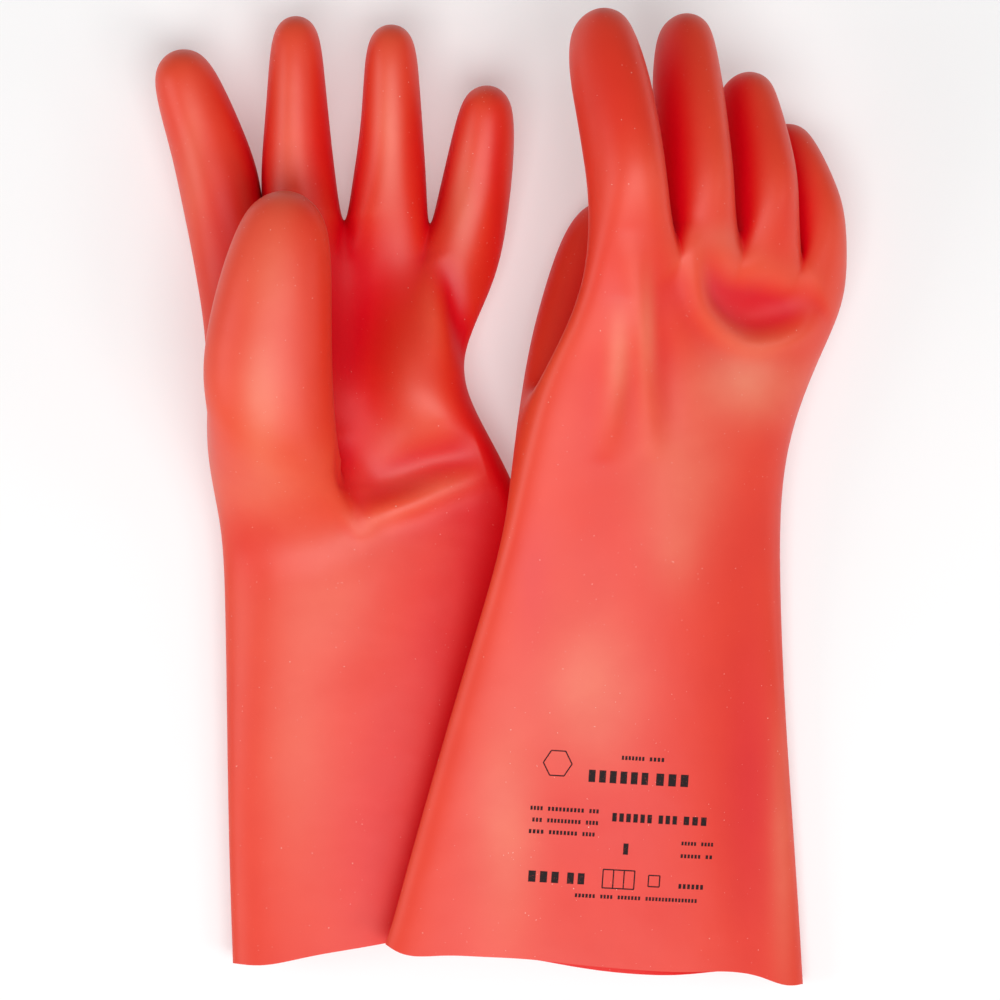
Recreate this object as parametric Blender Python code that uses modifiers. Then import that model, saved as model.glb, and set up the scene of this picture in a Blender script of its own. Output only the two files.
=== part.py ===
"""A pair of long electrical insulating gloves, dipped in natural rubber and laid out flat.

The left glove lies palm up on its back. The right glove lies palm down with its cuff across the
left cuff and its index side raised on its thumb. +Y runs from the cuffs to the fingertips, +X runs
from the left glove to the right glove and +Z points up from the table at z = 0.
Each glove is one moulding. It is divided here where the digits flex: one hand node carries the
gauntlet and palm, and each stall is a node of its own that turns about its root crease.
"""

import math

import bmesh
import bpy
from mathutils import Vector

MM = 0.001
WALL = 1.0 * MM  # rubber thickness
GAP = 0.3 * MM  # clearance at each flex line
RING_FACTOR = 1.10  # a subdivided eight-sided ring shrinks by about this much
TUCK = 0.4  # clearance in mm kept on each side of the surface where the cuffs rest on each other

# Column positions across a section, from the index side (-1) to the little finger side (+1).
EVEN_COLUMNS = (-0.90, -0.68, -0.45, -0.22, 0.0, 0.22, 0.45, 0.68, 0.90)
THUMB_COLUMNS = (-0.62, -0.02, 0.16, 0.31, 0.46, 0.59, 0.71, 0.82, 0.92)
THUMB_ROWS = (4, 5, 6)  # the sections the thumb grows from, counted from the hem

DIGITS = ("index", "middle", "ring", "little", "thumb")

# Every section: index side edge, little finger side edge, palm depth, back depth, thumb spread.
# Every digit: axis points from root to tip, each with half width and half depth, in mm. A fourth
# value is the slant in degrees of a ring whose index side reaches further up than its other side.
# Every relief: palm ("f") or back ("b"), its place across and along the hand, its reach, its depth.
LEFT = {
    "name": "left",
    "palm": 1,
    "roll": {"index": 10, "middle": 4, "ring": 0, "little": -8, "thumb": 0},
    "cut": {"index": 0.14, "middle": 0.14, "ring": 0.14, "little": 0.16, "thumb": 0.34},
    "sections": (
        ((-104, -178, 12), (60, -152, 7), 12, 12, 0.0),
        ((-105.5, -128, 12), (45, -108, 7), 12, 12, 0.0),
        ((-106.5, -76, 13), (28, -60, 8), 13, 13, 0.2),
        ((-107.5, -38, 15), (19, -28, 9), 15, 15, 0.6),
        ((-108.5, -12, 16), (12, -8, 10), 17, 16, 1.0),
        ((-112, 15, 17), (3, 14, 13), 17, 17, 1.0),
        ((-114, 44, 17), (-9, 34, 15), 17, 17, 0.8),
        ((-114, 64, 17), (-16, 54, 16), 17, 16, 0.35),
        ((-117, 85, 16), (1, 84, 13), 15, 15, 0.0),
    ),
    "webs": ((-119, 98, 16), (-92, 107, 15), (-60, 107, 15), (-25.5, 107, 15), (2, 99, 13)),
    "relief": (
        ("f", 0.20, 78, 0.38, 34, -9.0),
        ("f", 0.62, 44, 0.26, 26, 5.0),
        ("f", 0.98, 84, 0.16, 18, -6.0),
        ("f", 0.45, 2, 0.60, 10, 2.5),
        ("b", 0.20, 80, 0.50, 30, -2.0),
    ),
    "digits": {
        "index": (
            ((-106, 118, 17), 16, 15),
            ((-110.8, 135, 19), 14.6, 14),
            ((-116.5, 151, 22), 13.4, 13),
            ((-122, 166.5, 26), 10.8, 10.5),
        ),
        "middle": (
            ((-77, 121, 17), 14.6, 15.5),
            ((-77, 143, 22), 12.3, 14),
            ((-77, 162, 27), 10.6, 12.5),
            ((-77, 179.5, 31), 8.8, 9.5),
        ),
        "ring": (
            ((-42, 121, 17), 14.2, 15.5),
            ((-41, 141, 23), 11.8, 14),
            ((-41, 159, 29), 10.6, 12.5),
            ((-41, 176, 33), 9, 9.5),
        ),
        "little": (
            ((-10, 114, 15), 13.8, 14),
            ((-7.6, 128, 19), 12.8, 13),
            ((-5.6, 142, 24), 11.4, 12),
            ((-4.4, 153.5, 28), 8.8, 9),
        ),
        "thumb": (
            ((-84, 20, 42), 27, 17, 32),
            ((-86.3, 38, 51), 25, 16, 14),
            ((-86, 58, 56), 23.8, 15),
            ((-83, 80, 59), 21.2, 14.5),
            ((-80, 98, 60), 17.8, 13.5),
            ((-78.5, 110, 60), 12.8, 10),
        ),
    },
}

RIGHT = {
    "name": "right",
    "palm": -1,
    "roll": {"index": -37, "middle": -35, "ring": -35, "little": -40, "thumb": 0},
    "cut": {"index": 0.14, "middle": 0.14, "ring": 0.14, "little": 0.16, "thumb": 0.34},
    "sections": (
        ((-45, -168, 36), (118, -184, 6), 12, 12, 0.0),
        ((-31.5, -120, 36), (114.5, -132, 6.5), 12, 12, 0.0),
        ((-17.5, -70, 38), (110.5, -82, 7.5), 13, 13, 0.2),
        ((-8, -37, 42), (108.5, -44, 9), 15, 15, 0.6),
        ((-1, -10, 47), (107.5, -14, 10), 16, 16, 1.0),
        ((5, 18, 54), (108.5, 12, 11), 17, 17, 1.0),
        ((13, 47, 62), (113.5, 34, 12), 17, 17, 0.8),
        ((23, 64, 69), (123, 57, 13), 16, 17, 0.35),
        ((31, 82, 75), (133.5, 79, 14), 15, 15, 0.0),
    ),
    "webs": ((34, 96, 80), (65, 99, 65), (91, 101, 48), (117, 92, 31), (135, 92, 16)),
    "relief": (
        ("b", 0.25, 68, 0.26, 17, -7.0),
        ("b", -0.55, 60, 0.20, 40, 2.5),
        ("b", 0.10, 30, 0.60, 14, 2.0),
        ("f", 0.20, 78, 0.38, 34, -7.0),
        ("f", 0.62, 44, 0.26, 26, 3.0),
    ),
    "digits": {
        "index": (
            ((47, 113, 78), 13, 17),
            ((44.5, 130, 77.5), 13, 17),
            ((41.7, 147, 74.5), 13, 16.8),
            ((38.2, 163, 69), 12.3, 16),
            ((36, 177, 64), 9.4, 12),
        ),
        "middle": (
            ((73, 114, 60), 12.4, 16.5),
            ((71.3, 131, 58), 12.4, 16.5),
            ((69.9, 147, 55), 12, 16),
            ((69, 163, 50), 11.2, 14.5),
            ((68.6, 178, 45), 8.8, 11),
        ),
        "ring": (
            ((98.8, 111, 43), 12.4, 16),
            ((96.8, 127, 40.5), 12.2, 15.5),
            ((93.7, 143, 36), 11.3, 14.5),
            ((92.2, 157.5, 31.5), 9, 11.5),
        ),
        "little": (
            ((118.5, 102, 22), 12, 16),
            ((114.8, 115, 20), 11.6, 15.5),
            ((110, 128, 17), 11, 14.5),
            ((106.3, 139.5, 14), 8.6, 11),
        ),
        "thumb": (
            ((25, 26, 36), 22, 15, 32),
            ((27, 42, 29), 19, 14, 14),
            ((29.5, 61, 22.5), 17.5, 13.5),
            ((33.5, 80, 17), 16.3, 13),
            ((38.5, 98, 13), 15, 12),
            ((42.5, 110, 11), 10.8, 9),
        ),
    },
}


def rest_height(x, y):
    """Height in mm of the surface on which the right cuff lies over the left cuff."""
    side = 24.0 - 0.10 * (x + 45.0)
    drop = 0.50 * (88.0 - x - 0.22 * (y + 150.0))
    return max(0.0, min(side, drop))


def bulge(u):
    """Share of the full depth of a section at position u across it."""
    return (1.0 - abs(u) ** 2.6) ** (1.0 / 2.2)


def columns(spread):
    """Column positions of a section on its way from even spacing to thumb spacing."""
    return [e + (t - e) * spread for e, t in zip(EVEN_COLUMNS, THUMB_COLUMNS)]


def relief(glove, side, u, y):
    """Extra depth of the palm or the back from its pads and hollows."""
    extra = 0.0
    for where, u0, y0, reach_u, reach_y, depth in glove["relief"]:
        if where == side:
            extra += depth * math.exp(-(((u - u0) / reach_u) ** 2) - ((y - y0) / reach_y) ** 2)
    return extra


def settle(glove, point):
    """A point of the surface kept above the table and on its own side of the resting surface."""
    x, y, z = point
    if glove["palm"] < 0:
        return Vector((x, y, max(z, rest_height(x, y) + TUCK if x < 95 else 0.0)))
    if x > -60 and y < 30:
        z = min(z, max(rest_height(x, y) - TUCK, 2.5))
    return Vector((x, y, max(z, 0.0)))


def section_rings(glove):
    """Twenty points per section: nine across the palm, nine across the back and two edges."""
    rings = []
    for start, end, palm, back, spread in glove["sections"]:
        start, end = Vector(start), Vector(end)
        middle, half = (start + end) / 2, (end - start) / 2 * 1.01
        up = half.cross(Vector((0, 1, 0))).normalized() * glove["palm"]
        ring = {"s": middle - half, "e": middle + half}
        for i, u in enumerate(columns(spread)):
            spot = middle + half * u
            ring[f"f{i}"] = spot + up * (palm * bulge(u) + relief(glove, "f", u, spot.y))
        for i, u in enumerate(EVEN_COLUMNS):
            spot = middle + half * u
            ring[f"b{i}"] = spot - up * (back * bulge(u) + relief(glove, "b", u, spot.y))
        rings.append({key: settle(glove, p) for key, p in ring.items()})
    return rings


def digit_frames(points):
    """Direction of a digit at each of its axis points."""
    spots = [Vector(p[0]) for p in points]
    found = []
    for i in range(len(spots)):
        before = spots[max(i - 1, 0)]
        after = spots[min(i + 1, len(spots) - 1)]
        found.append((after - before).normalized())
    return found


def digit_axes(glove, digit, along):
    """Directions across a digit and out of its palm side."""
    roll = math.radians(glove["roll"][digit])
    across = Vector((math.cos(roll), 0, math.sin(roll)))
    across = (across - along * across.dot(along)).normalized()
    return across, across.cross(along) * glove["palm"]


def digit_ring(glove, digit, point, along):
    """Eight points round a digit, palm side first, from the index side to the little side."""
    centre, wide, deep = point[:3]
    across, up = digit_axes(glove, digit, along)
    if len(point) > 3:
        slant = math.radians(point[3])
        across = across * math.cos(slant) - along * math.sin(slant)
    ring = []
    for turn in (135, 90, 45, 0, -45, -90, -135, 180):
        angle = math.radians(turn)
        spot = Vector(centre) + RING_FACTOR * (
            across * wide * math.cos(angle) + up * deep * math.sin(angle)
        )
        ring.append(Vector((spot.x, spot.y, max(spot.z, 0.0))))
    return ring


def tip_centre(point, along):
    return Vector(point[0]) + along * point[1] * 0.75


class Cage:
    """Vertices and quads of one glove, each quad marked with the part of the glove it is on."""

    def __init__(self, glove):
        self.glove = glove
        self.mesh = bmesh.new()

    def vert(self, point):
        return self.mesh.verts.new(point * MM)

    def quad(self, corners, part):
        if self.glove["palm"] > 0:
            corners = corners[::-1]
        self.mesh.faces.new(corners).material_index = part

    def tube(self, lower, upper, part):
        count = len(lower)
        for i in range(count):
            j = (i + 1) % count
            self.quad([lower[i], lower[j], upper[j], upper[i]], part)


def add_body(cage):
    """The gauntlet and palm as stacked rings, open at the hem and where the thumb grows."""
    order = ["s"] + [f"f{i}" for i in range(9)] + ["e"] + [f"b{i}" for i in range(8, -1, -1)]
    low, mid, high = THUMB_ROWS
    rows = []
    for number, ring in enumerate(section_rings(cage.glove)):
        skipped = ("f0",) if number == mid else ()
        rows.append({k: cage.vert(ring[k]) for k in order if k not in skipped})
    for number in range(len(rows) - 1):
        for i, key in enumerate(order):
            after = order[(i + 1) % len(order)]
            if number in (low, mid) and (key, after) in (("s", "f0"), ("f0", "f1")):
                continue
            below, above = rows[number], rows[number + 1]
            cage.quad([below[key], below[after], above[after], above[key]], 0)
    return rows


def add_digit(cage, name, base):
    """One stall from its base ring to its rounded tip."""
    points = cage.glove["digits"][name]
    part = DIGITS.index(name) + 1
    lower = base
    directions = digit_frames(points)
    for point, along in zip(points, directions):
        upper = [cage.vert(p) for p in digit_ring(cage.glove, name, point, along)]
        cage.tube(lower, upper, part)
        lower = upper
    tip = cage.vert(tip_centre(points[-1], directions[-1]))
    for first in (0, 2, 4, 6):
        corners = [lower[(first + k) % 8] for k in range(3)]
        order = [lower[first - 1], corners[0], corners[1], tip]
        cage.quad(order, part)


def add_fingers(cage, top):
    """Four stalls side by side that share the webs between them."""
    webs = [cage.vert(Vector(p)) for p in cage.glove["webs"][1:4]]
    webs = [top["s"]] + webs + [top["e"]]
    for k, name in enumerate(DIGITS[:4]):
        base = [top[f"f{2 * k + i}"] for i in range(3)] + [webs[k + 1]]
        base += [top[f"b{2 * k + i}"] for i in (2, 1, 0)] + [webs[k]]
        add_digit(cage, name, base)


def add_thumb(cage, rows):
    """The thumb stall from the opening left in the side of the palm."""
    low, mid, high = (rows[i] for i in THUMB_ROWS)
    base = [low["s"], low["f0"], low["f1"], mid["f1"]]
    base += [high["f1"], high["f0"], high["s"], mid["s"]]
    add_digit(cage, "thumb", base)


def glove_surface(glove):
    """The outer surface of a whole glove as a subdivided mesh."""
    cage = Cage(glove)
    rows = add_body(cage)
    add_fingers(cage, rows[-1])
    add_thumb(cage, rows)
    data = bpy.data.meshes.new(glove["name"] + "_cage")
    cage.mesh.to_mesh(data)
    cage.mesh.free()
    holder = bpy.data.objects.new(glove["name"] + "_cage", data)
    bpy.context.scene.collection.objects.link(holder)
    smooth = holder.modifiers.new("smooth", "SUBSURF")
    smooth.levels = 1
    smooth.render_levels = 1
    shaped = bpy.data.meshes.new_from_object(
        holder.evaluated_get(bpy.context.evaluated_depsgraph_get())
    )
    bpy.data.objects.remove(holder)
    bpy.data.meshes.remove(data)
    return shaped


def flex_plane(glove, name):
    """Centre and direction of the plane on which a stall flexes."""
    points = [Vector(p[0]) * MM for p in glove["digits"][name]]
    lengths = [(b - a).length for a, b in zip(points, points[1:])]
    reach = glove["cut"][name] * sum(lengths)
    for a, b, length in zip(points, points[1:], lengths):
        if reach <= length:
            return a.lerp(b, reach / length), (b - a).normalized()
        reach -= length
    raise ValueError(name)


def cut_geometry(mesh, part, centre, along, far_side):
    """Trims the faces of one part of the glove at a plane and keeps one side of it."""
    faces = [f for f in mesh.faces if f.material_index == part]
    edges = {e for f in faces for e in f.edges}
    verts = {v for f in faces for v in f.verts}
    bmesh.ops.bisect_plane(
        mesh,
        geom=faces + list(edges) + list(verts),
        dist=1e-6,
        plane_co=centre,
        plane_no=along,
        clear_outer=not far_side,
        clear_inner=far_side,
    )


def hand_mesh(glove, surface):
    """The gauntlet, palm and digit roots up to the flex lines."""
    mesh = bmesh.new()
    mesh.from_mesh(surface)
    for part, name in enumerate(DIGITS, start=1):
        centre, along = flex_plane(glove, name)
        cut_geometry(mesh, part, centre - along * GAP / 2, along, False)
    return mesh


def stall_mesh(glove, surface, name):
    """One digit beyond its flex line."""
    mesh = bmesh.new()
    mesh.from_mesh(surface)
    part = DIGITS.index(name) + 1
    others = [f for f in mesh.faces if f.material_index != part]
    bmesh.ops.delete(mesh, geom=others, context="FACES")
    centre, along = flex_plane(glove, name)
    cut_geometry(mesh, part, centre + along * GAP / 2, along, True)
    return mesh


def rubber(name, colour):
    material = bpy.data.materials.new(name)
    material.use_nodes = True
    shader = material.node_tree.nodes["Principled BSDF"]
    shader.inputs["Base Color"].default_value = (*colour, 1.0)
    shader.inputs["Roughness"].default_value = 0.5
    return material


def hinge_of(glove, name, rim):
    """The crease line of a stall: a point on it and its direction.

    The crease is on the palm face of each stall, except on the right thumb, which lies under the
    palm and folds up towards it.
    """
    centre, along = flex_plane(glove, name)
    across, inside = digit_axes(glove, name, along)
    if name == "thumb":
        inside *= glove["palm"]
    reach = max((point - centre).dot(inside) for point in rim)
    return centre + inside * reach, across


def finish_node(collection, name, mesh, origin, colour):
    """A named object with its own material and a wall of rubber grown inwards."""
    for face in mesh.faces:
        face.material_index = 0
        face.smooth = True
    bmesh.ops.recalc_face_normals(mesh, faces=mesh.faces)
    for vert in mesh.verts:
        vert.co -= origin
    data = bpy.data.meshes.new(name)
    mesh.to_mesh(data)
    mesh.free()
    data.materials.append(rubber(name + "_rubber", colour))
    made = bpy.data.objects.new(name, data)
    made.location = origin
    collection.objects.link(made)
    wall = made.modifiers.new("wall", "SOLIDIFY")
    wall.thickness = WALL
    wall.offset = -1.0
    wall.use_rim = True
    return made


def build_glove(collection, glove, colour):
    surface = glove_surface(glove)
    hand = glove["name"] + "_hand"
    finish_node(collection, hand, hand_mesh(glove, surface), Vector((0, 0, 0)), colour)
    for name in DIGITS:
        mesh = stall_mesh(glove, surface, name)
        rim = {v.co.copy().freeze() for e in mesh.edges if e.is_boundary for v in e.verts}
        origin, axis = hinge_of(glove, name, rim)
        print(glove["name"], name, [round(c, 5) for c in origin], [round(c, 4) for c in axis])
        finish_node(collection, f"{glove['name']}_{name}", mesh, origin, colour)
    bpy.data.meshes.remove(surface)


def main():
    for old in list(bpy.data.objects):
        bpy.data.objects.remove(old)
    collection = bpy.data.collections.new("insulating_gloves")
    bpy.context.scene.collection.children.link(collection)
    build_glove(collection, LEFT, (0.80, 0.10, 0.06))
    build_glove(collection, RIGHT, (0.80, 0.11, 0.07))


main()
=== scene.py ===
"""Looks of a pair of electrical insulating gloves laid out on a table.

The left glove lies palm up and the right glove lies palm down with its cuff across the left cuff.
Each glove is one smooth skin of dipped natural rubber. Its hand and its five digits are pieces
that share their borders, in place of the CAD bodies they replace.
"""

import math

import bmesh
import bpy
import numpy as np
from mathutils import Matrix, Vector
from mathutils.bvhtree import BVHTree


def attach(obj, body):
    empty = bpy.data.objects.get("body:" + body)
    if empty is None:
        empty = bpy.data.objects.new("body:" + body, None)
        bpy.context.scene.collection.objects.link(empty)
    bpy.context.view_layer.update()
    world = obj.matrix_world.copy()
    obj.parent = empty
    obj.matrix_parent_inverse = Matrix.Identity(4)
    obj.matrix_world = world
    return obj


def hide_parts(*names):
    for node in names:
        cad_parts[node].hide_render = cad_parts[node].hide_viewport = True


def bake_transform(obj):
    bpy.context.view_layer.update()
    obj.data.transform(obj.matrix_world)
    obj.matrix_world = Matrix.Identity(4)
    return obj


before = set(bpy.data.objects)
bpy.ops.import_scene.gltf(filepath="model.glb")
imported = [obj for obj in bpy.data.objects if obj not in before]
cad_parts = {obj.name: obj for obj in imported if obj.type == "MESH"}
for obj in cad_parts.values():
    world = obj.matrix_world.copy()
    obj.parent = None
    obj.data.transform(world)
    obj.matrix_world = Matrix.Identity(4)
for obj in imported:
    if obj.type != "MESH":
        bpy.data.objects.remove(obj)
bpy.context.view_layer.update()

MM = 0.001
WALL = 1.0 * MM  # rubber thickness
RING_FACTOR = 1.10  # a subdivided eight-sided ring shrinks by about this much
EDGE_FACTOR = 1.01  # the two edges of a subdivided section shrink by about this much
TIP_REACH = 0.75  # how far a tip lies past the last ring, as a share of the ring's half width
BULGE_ACROSS = 2.6  # powers of the outline of a section, which would be an ellipse with 2 and 2
BULGE_THROUGH = 2.2
RING_TURNS = (135, 90, 45, 0, -45, -90, -135, 180)  # degrees, palm side first

# The surface on which the right cuff rests, in mm: a slope, and a steeper drop to the table.
SLOPE_START = -45.0  # the place across the table where the slope is SLOPE_HEIGHT high
SLOPE_HEIGHT = 24.0
SLOPE_FALL = 0.10
DROP_FALL = 0.50
DROP_FOOT = (88.0, -150.0)  # one place on the line where the drop meets the table
DROP_SLANT = 0.22  # how far that line moves aside for each mm up the cuff
TUCK = 0.4  # clearance kept on each side of the surface
RIGHT_REST_LIMIT = 95  # the right glove keeps above the surface to the left of this
LEFT_REST_LIMITS = (-60, 30)  # the left glove keeps under it right of this x and below this y
LEAST_HEIGHT = 2.5  # the left glove is not pressed flatter than this

# Column positions across a section, from the index side (-1) to the little finger side (+1).
EVEN_COLUMNS = (-0.90, -0.68, -0.45, -0.22, 0.0, 0.22, 0.45, 0.68, 0.90)
THUMB_COLUMNS = (-0.62, -0.02, 0.16, 0.31, 0.46, 0.59, 0.71, 0.82, 0.92)
THUMB_ROWS = (4, 5, 6)  # the sections the thumb grows from, counted from the hem

DIGITS = ("index", "middle", "ring", "little", "thumb")

# Palm is 1 for palm up and -1 for palm down. Roll turns a digit about its length, in degrees. Cut
# is where a digit flexes, as a share of its axis. Webs are the points between the fingers.
# Every section: index side edge, little finger side edge, palm depth, back depth, thumb spread.
# Every digit: axis points from root to tip, each with half width and half depth, in mm. A fourth
# value is the slant in degrees of a ring whose index side reaches further up than its other side.
# Every relief: palm ("f") or back ("b"), its place across and along the hand, its reach, its depth.
LEFT = {
    "name": "left",
    "palm": 1,
    "roll": {"index": 10, "middle": 4, "ring": 0, "little": -8, "thumb": 0},
    "cut": {"index": 0.14, "middle": 0.14, "ring": 0.14, "little": 0.16, "thumb": 0.34},
    "sections": (
        ((-104, -178, 12), (60, -152, 7), 12, 12, 0.0),
        ((-105.5, -128, 12), (45, -108, 7), 12, 12, 0.0),
        ((-106.5, -76, 13), (28, -60, 8), 13, 13, 0.2),
        ((-107.5, -38, 15), (19, -28, 9), 15, 15, 0.6),
        ((-108.5, -12, 16), (12, -8, 10), 17, 16, 1.0),
        ((-112, 15, 17), (3, 14, 13), 17, 17, 1.0),
        ((-114, 44, 17), (-9, 34, 15), 17, 17, 0.8),
        ((-114, 64, 17), (-16, 54, 16), 17, 16, 0.35),
        ((-117, 85, 16), (1, 84, 13), 15, 15, 0.0),
    ),
    "webs": ((-92, 107, 15), (-60, 107, 15), (-25.5, 107, 15)),
    "relief": (
        ("f", 0.20, 78, 0.38, 34, -9.0),
        ("f", 0.62, 44, 0.26, 26, 5.0),
        ("f", 0.98, 84, 0.16, 18, -6.0),
        ("f", 0.45, 2, 0.60, 10, 2.5),
        ("b", 0.20, 80, 0.50, 30, -2.0),
    ),
    "digits": {
        "index": (
            ((-106, 118, 17), 16, 15),
            ((-110.8, 135, 19), 14.6, 14),
            ((-116.5, 151, 22), 13.4, 13),
            ((-122, 166.5, 26), 10.8, 10.5),
        ),
        "middle": (
            ((-77, 121, 17), 14.6, 15.5),
            ((-77, 143, 22), 12.3, 14),
            ((-77, 162, 27), 10.6, 12.5),
            ((-77, 179.5, 31), 8.8, 9.5),
        ),
        "ring": (
            ((-42, 121, 17), 14.2, 15.5),
            ((-41, 141, 23), 11.8, 14),
            ((-41, 159, 29), 10.6, 12.5),
            ((-41, 176, 33), 9, 9.5),
        ),
        "little": (
            ((-10, 114, 15), 13.8, 14),
            ((-7.6, 128, 19), 12.8, 13),
            ((-5.6, 142, 24), 11.4, 12),
            ((-4.4, 153.5, 28), 8.8, 9),
        ),
        "thumb": (
            ((-84, 20, 42), 27, 17, 32),
            ((-86.3, 38, 51), 25, 16, 14),
            ((-86, 58, 56), 23.8, 15),
            ((-83, 80, 59), 21.2, 14.5),
            ((-80, 98, 60), 17.8, 13.5),
            ((-78.5, 110, 60), 12.8, 10),
        ),
    },
}

RIGHT = {
    "name": "right",
    "palm": -1,
    "roll": {"index": -37, "middle": -35, "ring": -35, "little": -40, "thumb": 0},
    "cut": {"index": 0.14, "middle": 0.14, "ring": 0.14, "little": 0.16, "thumb": 0.34},
    "sections": (
        ((-45, -168, 36), (118, -184, 6), 12, 12, 0.0),
        ((-31.5, -120, 36), (114.5, -132, 6.5), 12, 12, 0.0),
        ((-17.5, -70, 38), (110.5, -82, 7.5), 13, 13, 0.2),
        ((-8, -37, 42), (108.5, -44, 9), 15, 15, 0.6),
        ((-1, -10, 47), (107.5, -14, 10), 16, 16, 1.0),
        ((5, 18, 54), (108.5, 12, 11), 17, 17, 1.0),
        ((13, 47, 62), (113.5, 34, 12), 17, 17, 0.8),
        ((23, 64, 69), (123, 57, 13), 16, 17, 0.35),
        ((31, 82, 75), (133.5, 79, 14), 15, 15, 0.0),
    ),
    "webs": ((65, 99, 65), (91, 101, 48), (117, 92, 31)),
    "relief": (
        ("b", 0.25, 68, 0.26, 17, -7.0),
        ("b", -0.55, 60, 0.20, 40, 2.5),
        ("b", 0.10, 30, 0.60, 14, 2.0),
        ("f", 0.20, 78, 0.38, 34, -7.0),
        ("f", 0.62, 44, 0.26, 26, 3.0),
    ),
    "digits": {
        "index": (
            ((47, 113, 78), 13, 17),
            ((44.5, 130, 77.5), 13, 17),
            ((41.7, 147, 74.5), 13, 16.8),
            ((38.2, 163, 69), 12.3, 16),
            ((36, 177, 64), 9.4, 12),
        ),
        "middle": (
            ((73, 114, 60), 12.4, 16.5),
            ((71.3, 131, 58), 12.4, 16.5),
            ((69.9, 147, 55), 12, 16),
            ((69, 163, 50), 11.2, 14.5),
            ((68.6, 178, 45), 8.8, 11),
        ),
        "ring": (
            ((98.8, 111, 43), 12.4, 16),
            ((96.8, 127, 40.5), 12.2, 15.5),
            ((93.7, 143, 36), 11.3, 14.5),
            ((92.2, 157.5, 31.5), 9, 11.5),
        ),
        "little": (
            ((118.5, 102, 22), 12, 16),
            ((114.8, 115, 20), 11.6, 15.5),
            ((110, 128, 17), 11, 14.5),
            ((106.3, 139.5, 14), 8.6, 11),
        ),
        "thumb": (
            ((25, 26, 36), 22, 15, 32),
            ((27, 42, 29), 19, 14, 14),
            ((29.5, 61, 22.5), 17.5, 13.5),
            ((33.5, 80, 17), 16.3, 13),
            ((38.5, 98, 13), 15, 12),
            ((42.5, 110, 11), 10.8, 9),
        ),
    },
}


def rest_height(x, y):
    """Height in mm of the surface on which the right cuff lies over the left cuff."""
    slope = SLOPE_HEIGHT - SLOPE_FALL * (x - SLOPE_START)
    drop = DROP_FALL * (DROP_FOOT[0] - x - DROP_SLANT * (y - DROP_FOOT[1]))
    return max(0.0, min(slope, drop))


def bulge(u):
    """Share of the full depth of a section at position u across it."""
    return (1.0 - abs(u) ** BULGE_ACROSS) ** (1.0 / BULGE_THROUGH)


def columns(spread):
    """Column positions of a section on its way from even spacing to thumb spacing."""
    return [e + (t - e) * spread for e, t in zip(EVEN_COLUMNS, THUMB_COLUMNS)]


def relief(glove, side, u, y):
    """Extra depth of the palm or the back from its pads and hollows."""
    extra = 0.0
    for where, u0, y0, reach_u, reach_y, depth in glove["relief"]:
        if where == side:
            extra += depth * math.exp(-(((u - u0) / reach_u) ** 2) - ((y - y0) / reach_y) ** 2)
    return extra


def settle(glove, point):
    """A point of the surface kept above the table and on its own side of the resting surface."""
    x, y, z = point
    if glove["palm"] < 0:
        lowest = rest_height(x, y) + TUCK if x < RIGHT_REST_LIMIT else 0.0
        return Vector((x, y, max(z, lowest)))
    if x > LEFT_REST_LIMITS[0] and y < LEFT_REST_LIMITS[1]:
        z = min(z, max(rest_height(x, y) - TUCK, LEAST_HEIGHT))
    return Vector((x, y, max(z, 0.0)))


def section_rings(glove):
    """Twenty points per section: nine across the palm, nine across the back and two edges."""
    rings = []
    for start, end, palm, back, spread in glove["sections"]:
        start, end = Vector(start), Vector(end)
        middle = (start + end) / 2
        half = (end - start) / 2 * EDGE_FACTOR
        up = half.cross(Vector((0, 1, 0))).normalized() * glove["palm"]
        ring = {"s": middle - half, "e": middle + half}
        for i, u in enumerate(columns(spread)):
            spot = middle + half * u
            ring[f"f{i}"] = spot + up * (palm * bulge(u) + relief(glove, "f", u, spot.y))
        for i, u in enumerate(EVEN_COLUMNS):
            spot = middle + half * u
            ring[f"b{i}"] = spot - up * (back * bulge(u) + relief(glove, "b", u, spot.y))
        rings.append({key: settle(glove, p) for key, p in ring.items()})
    return rings


def digit_frames(points):
    """Direction of a digit at each of its axis points."""
    spots = [Vector(p[0]) for p in points]
    found = []
    for i in range(len(spots)):
        before = spots[max(i - 1, 0)]
        after = spots[min(i + 1, len(spots) - 1)]
        found.append((after - before).normalized())
    return found


def digit_axes(glove, digit, along):
    """Directions across a digit and out of its palm side."""
    roll = math.radians(glove["roll"][digit])
    across = Vector((math.cos(roll), 0, math.sin(roll)))
    across = (across - along * across.dot(along)).normalized()
    return across, across.cross(along) * glove["palm"]


def digit_ring(glove, digit, point, along):
    """Eight points round a digit, palm side first, from the index side to the little side."""
    centre, wide, deep = point[:3]
    across, up = digit_axes(glove, digit, along)
    if len(point) > 3:
        slant = math.radians(point[3])
        across = across * math.cos(slant) - along * math.sin(slant)
    ring = []
    for turn in RING_TURNS:
        angle = math.radians(turn)
        spot = Vector(centre) + RING_FACTOR * (
            across * wide * math.cos(angle) + up * deep * math.sin(angle)
        )
        ring.append(Vector((spot.x, spot.y, max(spot.z, 0.0))))
    return ring


def tip_centre(point, along):
    """The tip of a stall beyond its last ring."""
    return Vector(point[0]) + along * point[1] * TIP_REACH


class Cage:
    """Vertices and quads of one glove, each quad marked with the part of the glove it is on."""

    def __init__(self, glove):
        self.glove = glove
        self.mesh = bmesh.new()

    def vert(self, point):
        """A new vertex at a place in mm."""
        return self.mesh.verts.new(point * MM)

    def quad(self, corners, part):
        """A new quad that faces out of the glove."""
        if self.glove["palm"] > 0:
            corners = corners[::-1]
        self.mesh.faces.new(corners).material_index = part

    def tube(self, lower, upper, part):
        """The quads between two rings with equally many points."""
        count = len(lower)
        for i in range(count):
            j = (i + 1) % count
            self.quad([lower[i], lower[j], upper[j], upper[i]], part)


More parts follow.
